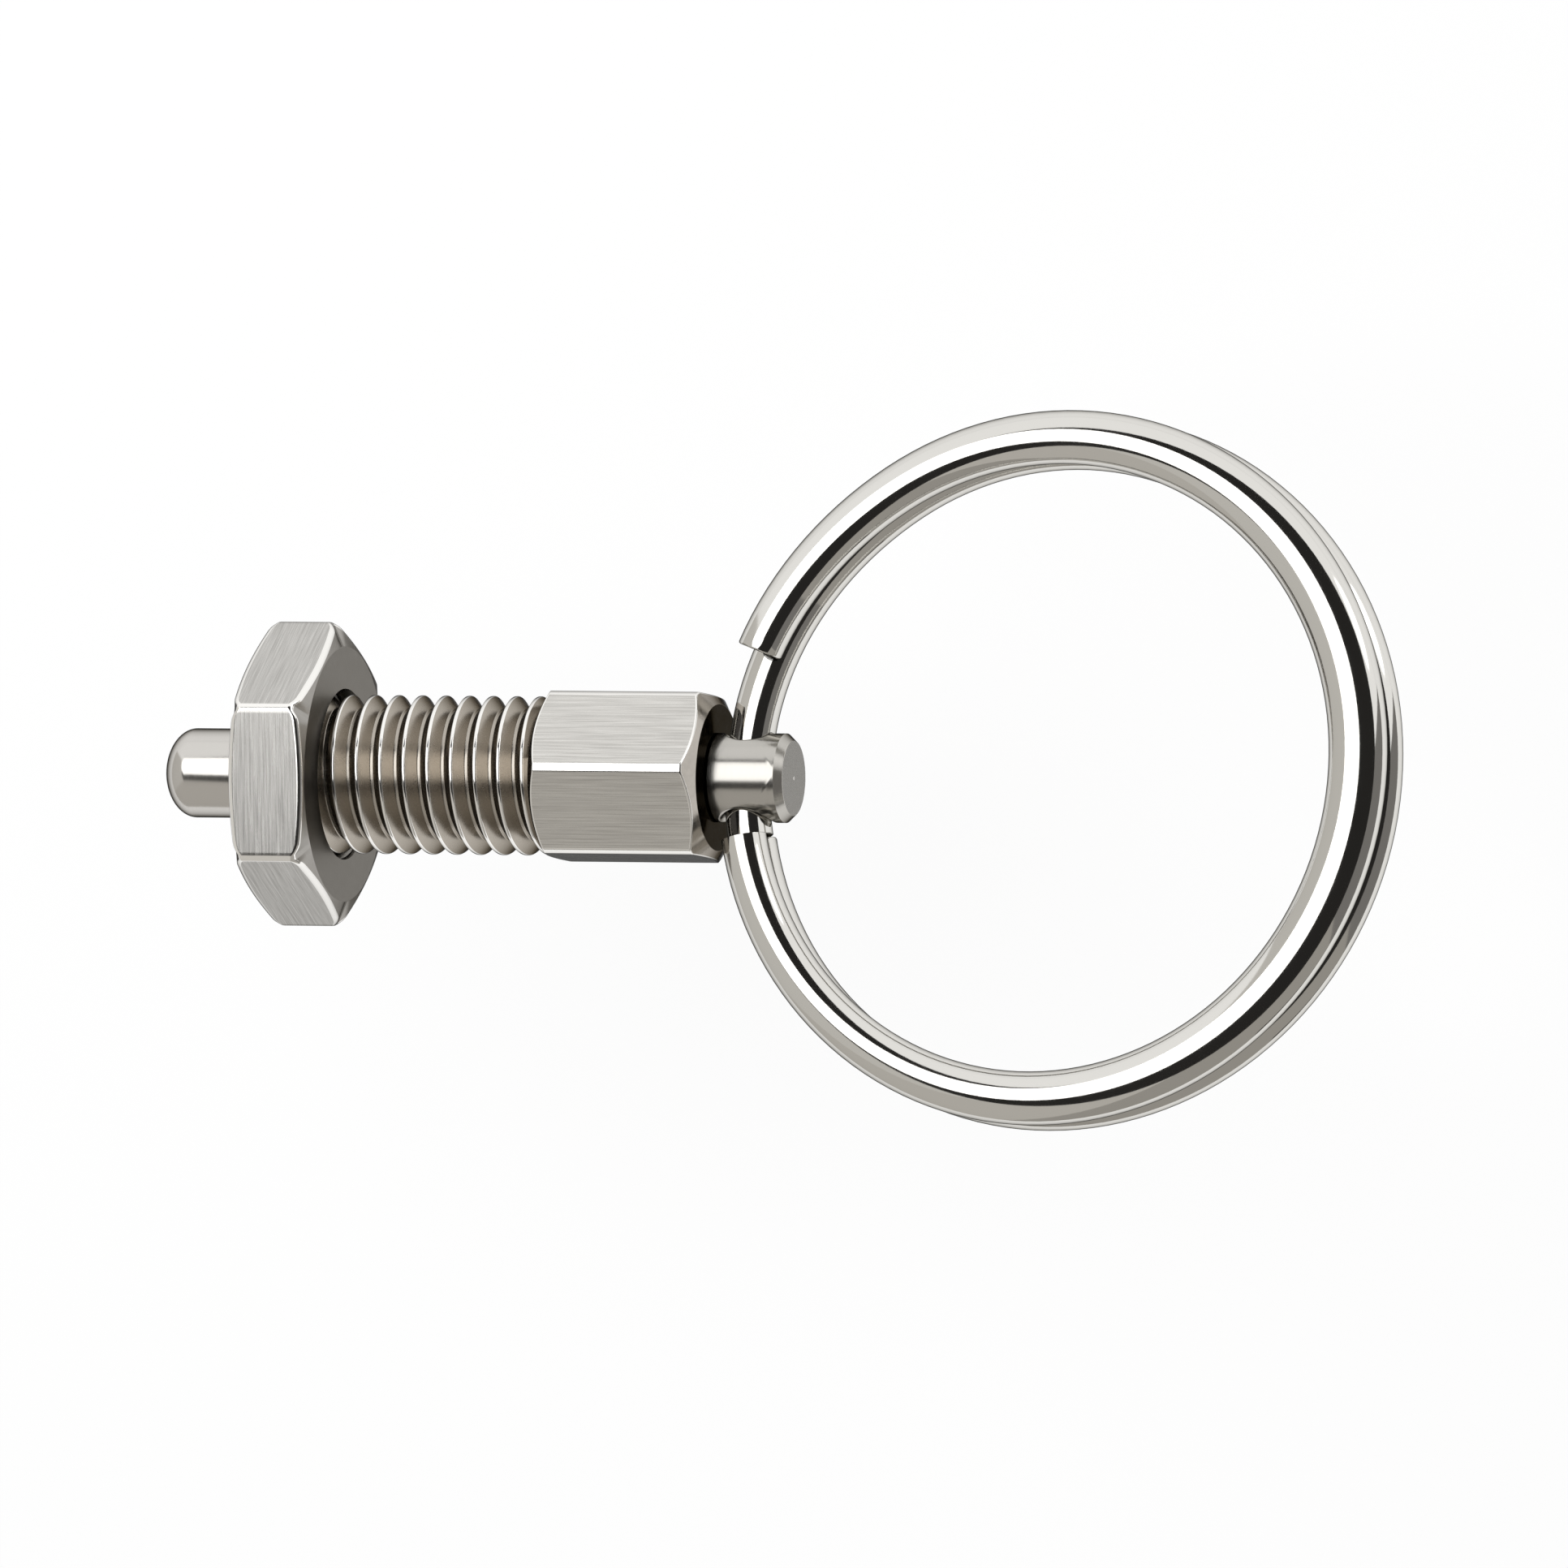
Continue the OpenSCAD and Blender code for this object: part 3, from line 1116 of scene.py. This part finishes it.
place_ring = (
    Matrix.Translation((hole_x, 0, 0))
    @ Matrix.Rotation(math.radians(-ring_turn), 4, "X")
    @ Matrix.Rotation(math.radians(-ring_lift), 4, "Y")
)


def ring_section(travel, inset=0.0):
    """The wire's cross-section at an angle of travel, inset on all sides near a cut end."""
    angle = math.radians(180 - upper_end - travel)
    slimmer = slim_by * ease(travel, slim_from, slim_to)
    width = wire_w_knob + (wire_w - wire_w_knob) * (1 + math.cos(angle)) / 2
    half_w = width / 2 - inset - slimmer
    half_t = turn_t / 2 - inset
    level = ring_level(travel) * turn_pitch / 2
    points = []
    for k in range(SECTION_POINTS):
        t = TAU * k / SECTION_POINTS
        c, s = math.cos(t), math.sin(t)
        across = half_w * math.copysign(abs(c) ** section_power, c)
        lift = half_t * math.copysign(abs(s) ** section_power, s)
        r = ring_r + across + slimmer
        x = ring_r - wire_bow / 2 + r * math.cos(angle)
        y = r * math.sin(angle) + ring_slip
        points.append(place_ring @ Vector((x, y, level + lift)))
    return points


bm = bmesh.new()
ring_loops = [ring_section(bevel_deg * share, inset) for share, inset in bevel_rows]
ring_loops += [ring_section(travel) for travel in travels[1:-1]]
ring_loops += [ring_section(ring_end - bevel_deg * share, inset) for share, inset in bevel_rows[::-1]]
add_skin(bm, ring_loops, 0, cap_first=True, cap_last=True)
ring = finish_mesh("split_pull_ring", bm, [polished_wire], sharp=50)
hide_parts("split_ring")
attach(ring, "ring")

# %% [markdown]
# ## Camera
#
# A small shiny part is best seen from far away through a long lens, so that its edges stay
# parallel. The camera looks almost straight down, turned a little towards the ring's end.

# %% Camera
turn_to_ring = math.radians(18.2)
turn_up = math.radians(4.0)
roll = math.radians(-0.53)
distance = 3.0
frame_width = 78.86 * MM
sensor_mm = 36
# The middle of the view, from the sleeve's front end.
view_across = 25.878 * MM
view_down = 0.53 * MM

toward = Vector(
    (
        math.sin(turn_to_ring),
        math.cos(turn_to_ring) * math.sin(turn_up),
        math.cos(turn_to_ring) * math.cos(turn_up),
    )
)
across = (Vector((1, 0, 0)) - toward * toward.x).normalized()
upward = toward.cross(across)
rolled_across = across * math.cos(roll) - upward * math.sin(roll)
rolled_up = across * math.sin(roll) + upward * math.cos(roll)
target = rolled_across * view_across - rolled_up * view_down
camera_data = bpy.data.cameras.new("long_lens")
camera_data.sensor_width = sensor_mm
camera_data.lens = sensor_mm * distance / frame_width
camera_data.clip_start = 0.1
camera_data.clip_end = 20
camera = bpy.data.objects.new("camera", camera_data)
bpy.context.scene.collection.objects.link(camera)
facing = Matrix((rolled_across, rolled_up, toward)).transposed()
camera.matrix_world = Matrix.Translation(target + toward * distance) @ facing.to_4x4()
bpy.context.scene.camera = camera
print("lens", round(camera_data.lens), "mm at", distance, "m")

# %% [markdown]
# ## Studio
#
# Polished metal has no colour of its own to show: it is drawn by what it mirrors. So the studio is
# planned from the metal's side. A spot of metal whose normal leans a little to the left mirrors a
# place twice as far to the left. Each lamp and card below is placed by that lean: 0 faces the
# camera and 1 is the outline. A round softbox is mirrored as the white band, the dark flag round
# the camera as the black one, and grey sheets below and to the right as the warm greys.

# %% Helpers for the studio
studio_centre = Vector((30, 0, 0))


def studio_point(place):
    """A place given across, up and towards the camera, in millimetres."""
    return (across * place.x + upward * place.y + toward * place.z) * MM


def mirrored_point(lean_x, lean_y, distance):
    """The place that metal mirrors where its normal leans that much to the right and up."""
    lean_z = math.sqrt(1 - lean_x**2 - lean_y**2)
    direction = Vector((2 * lean_z * lean_x, 2 * lean_z * lean_y, 2 * lean_z**2 - 1))
    return studio_point(studio_centre + direction * distance)


def aim(obj, place, at):
    """Puts obj at place with its -Z side turned to at."""
    turn = (at - place).normalized().to_track_quat("-Z", "Y").to_matrix().to_4x4()
    obj.matrix_world = Matrix.Translation(place) @ turn


def lamp(name, lean, distance, width, height, radiance):
    """An oval area light of that size in millimetres. Radiance 1 mirrors as white."""
    light = bpy.data.lights.new(name, "AREA")
    light.shape = "ELLIPSE"
    light.size = width * MM
    light.size_y = height * MM
    # A lamp with a power of pi for each square metre shines with radiance 1.
    light.energy = radiance * math.pi * math.pi / 4 * light.size * light.size_y
    obj = bpy.data.objects.new(name, light)
    bpy.context.scene.collection.objects.link(obj)
    aim(obj, mirrored_point(*lean, distance), studio_point(studio_centre))
    obj.visible_camera = False


def card(name, lean, radii, angles, distance, shade, inner=0.0):
    """A curved sheet of paper that is only there to be mirrored.

    It is laid out in leans: an oval or a ring round lean, from inner to 1 of the radii, between
    two angles in degrees.
    """
    around = 48
    steps = 8
    points = []
    for i in range(steps + 1):
        share = inner + (1 - inner) * i / steps
        for j in range(around + 1):
            a = math.radians(angles[0] + (angles[1] - angles[0]) * j / around)
            lean_x = lean[0] + radii[0] * share * math.cos(a)
            lean_y = lean[1] + radii[1] * share * math.sin(a)
            points.append(mirrored_point(lean_x, lean_y, distance))
    faces = []
    for i in range(steps):
        for j in range(around):
            k = i * (around + 1) + j
            faces.append((k, k + 1, k + around + 2, k + around + 1))
    mesh = bpy.data.meshes.new(name)
    mesh.from_pydata(points, [], faces)
    obj = bpy.data.objects.new(name, mesh)
    bpy.context.scene.collection.objects.link(obj)
    material, tree, output = new_material(name + "_paper")
    glow = add_node(tree, "ShaderNodeEmission", {"Color": linear(shade), "Strength": 1.0})
    tree.links.new(glow.outputs["Emission"], output.inputs["Surface"])
    mesh.materials.append(material)
    obj.visible_camera = False
    obj.visible_shadow = False
    obj.visible_diffuse = False


print("metal that leans 0.5 to the right mirrors", [round(v, 3) for v in mirrored_point(0.5, 0, 300)])

# %% Lamps and cards
# The white band on the wire, the pin and the knob, and a smaller light up on the right.
lamp("round_softbox", (-0.287, 0.13), 258, 198, 228, 2.0)
lamp("side_softbox", (0.32, 0.35), 275, 90, 90, 1.4)
# The black band beside the white one.
card("camera_flag", (-0.08, 0.07), (0.38, 0.39), (0, 360), 300, "#292827")
# Warm greys for the metal that leans to the sides and down.
card("right_sheet", (0, 0), (0.66, 0.66), (-34, 24), 312, "#7C7A78", inner=0.3)
card("left_sheet", (0, 0), (0.86, 0.86), (150, 204), 314, "#CCCAC6", inner=0.4)
card("lower_left_sheet", (0, 0), (0.9, 0.9), (204, 250), 316, "#C0BDB8", inner=0.2)
card("lower_sheet", (0, 0), (0.9, 0.9), (250, 332), 318, "#A19E99", inner=0.2)
# Thin dark arcs just inside the outline, to the right and below: painted shade that the metal mirrors
# at its outline, standing in for the table's shade beside the piece.
card("right_outline_shade_arc", (0, 0), (0.78, 0.78), (-14, 60), 306, "#3A3836", inner=0.85)
card("lower_outline_shade_arc", (0, 0), (0.76, 0.76), (-58, -24), 306, "#4A4744", inner=0.84)
print(len(bpy.data.lights), "lamps and", len(bpy.data.materials), "materials with the cards' paper")

# %% [markdown]
# ## Table and room
#
# The ring can hang down and turn over with the pin, so the table lies deep enough below the
# plunger for every way it can stand. The table and the room are the same plain white for the
# camera and for rays that leave the metal, and a duller white for the light that they send back.
# A Light Path node tells the two kinds of ray apart.

# %% Table
table_half = 1.5
ring_swing = 45
table_gap = 1.5
ring_reach = 2 * ring_r + wire_w
table_z = -(ring_reach * math.sin(math.radians(ring_swing + ring_lift)) + table_gap) * MM
corners = [(-1, -1), (1, -1), (1, 1), (-1, 1)]
corner_points = [(x * table_half, y * table_half, table_z) for x, y in corners]
table_mesh = bpy.data.meshes.new("table")
table_mesh.from_pydata(corner_points, [], [(0, 1, 2, 3)])
table = bpy.data.objects.new("table", table_mesh)
bpy.context.scene.collection.objects.link(table)
print("table at", round(table_z / MM, 1), "mm")

# %% White for the table and the room


def seen_as_background(tree):
    """1 for rays from the camera, or off or through a glossy surface. 0 for light that bounces."""
    path = add_node(tree, "ShaderNodeLightPath")
    in_metal = add_node(
        tree,
        "ShaderNodeMath",
        {"operation": "MAXIMUM"},
        {0: path.outputs["Is Glossy Ray"], 1: path.outputs["Is Transmission Ray"]},
    )
    seen = add_node(
        tree,
        "ShaderNodeMath",
        {"operation": "MAXIMUM"},
        {0: path.outputs["Is Camera Ray"], 1: in_metal.outputs["Value"]},
    )
    return seen.outputs["Value"]


def mix_by_ray(tree, output, bounced, seen):
    """Ends a tree in one shader for light that bounces and another for what is seen."""
    mixed = add_node(
        tree, "ShaderNodeMixShader", None, {"Fac": seen_as_background(tree), 1: bounced, 2: seen}
    )
    tree.links.new(mixed.outputs["Shader"], output.inputs["Surface"])


# Matt white paint. Part of the white that is seen is paint lit by the lamps, so the piece keeps
# its soft shadow, both on the table and in the metal's own edges. The rest is an even glow.
WHITE = (1, 1, 1, 1)
table_glow = 0.83
room_light = 0.5
material, tree, output = new_material("pale_table")
matt = add_node(tree, "ShaderNodeBsdfDiffuse", {"Color": linear("#C8C8C8")})
paint = add_node(tree, "ShaderNodeBsdfDiffuse", {"Color": linear("#828282")})
glow = add_node(tree, "ShaderNodeEmission", {"Color": WHITE, "Strength": table_glow})
lit = {0: paint.outputs["BSDF"], 1: glow.outputs["Emission"]}
white = add_node(tree, "ShaderNodeAddShader", None, lit)
mix_by_ray(tree, output, matt.outputs["BSDF"], white.outputs["Shader"])
table_mesh.materials.append(material)

world = bpy.data.worlds.new("studio_room")
bpy.context.scene.world = world
world.use_nodes = True
tree = world.node_tree
tree.nodes.clear()
output = add_node(tree, "ShaderNodeOutputWorld")
room = add_node(tree, "ShaderNodeBackground", {"Color": WHITE, "Strength": room_light})
backdrop = add_node(tree, "ShaderNodeBackground", {"Color": WHITE, "Strength": 1.0})
mix_by_ray(tree, output, room.outputs["Background"], backdrop.outputs["Background"])
bpy.context.scene.view_settings.view_transform = "Standard"
print("the room is seen as white and lights with", room_light, "of it")
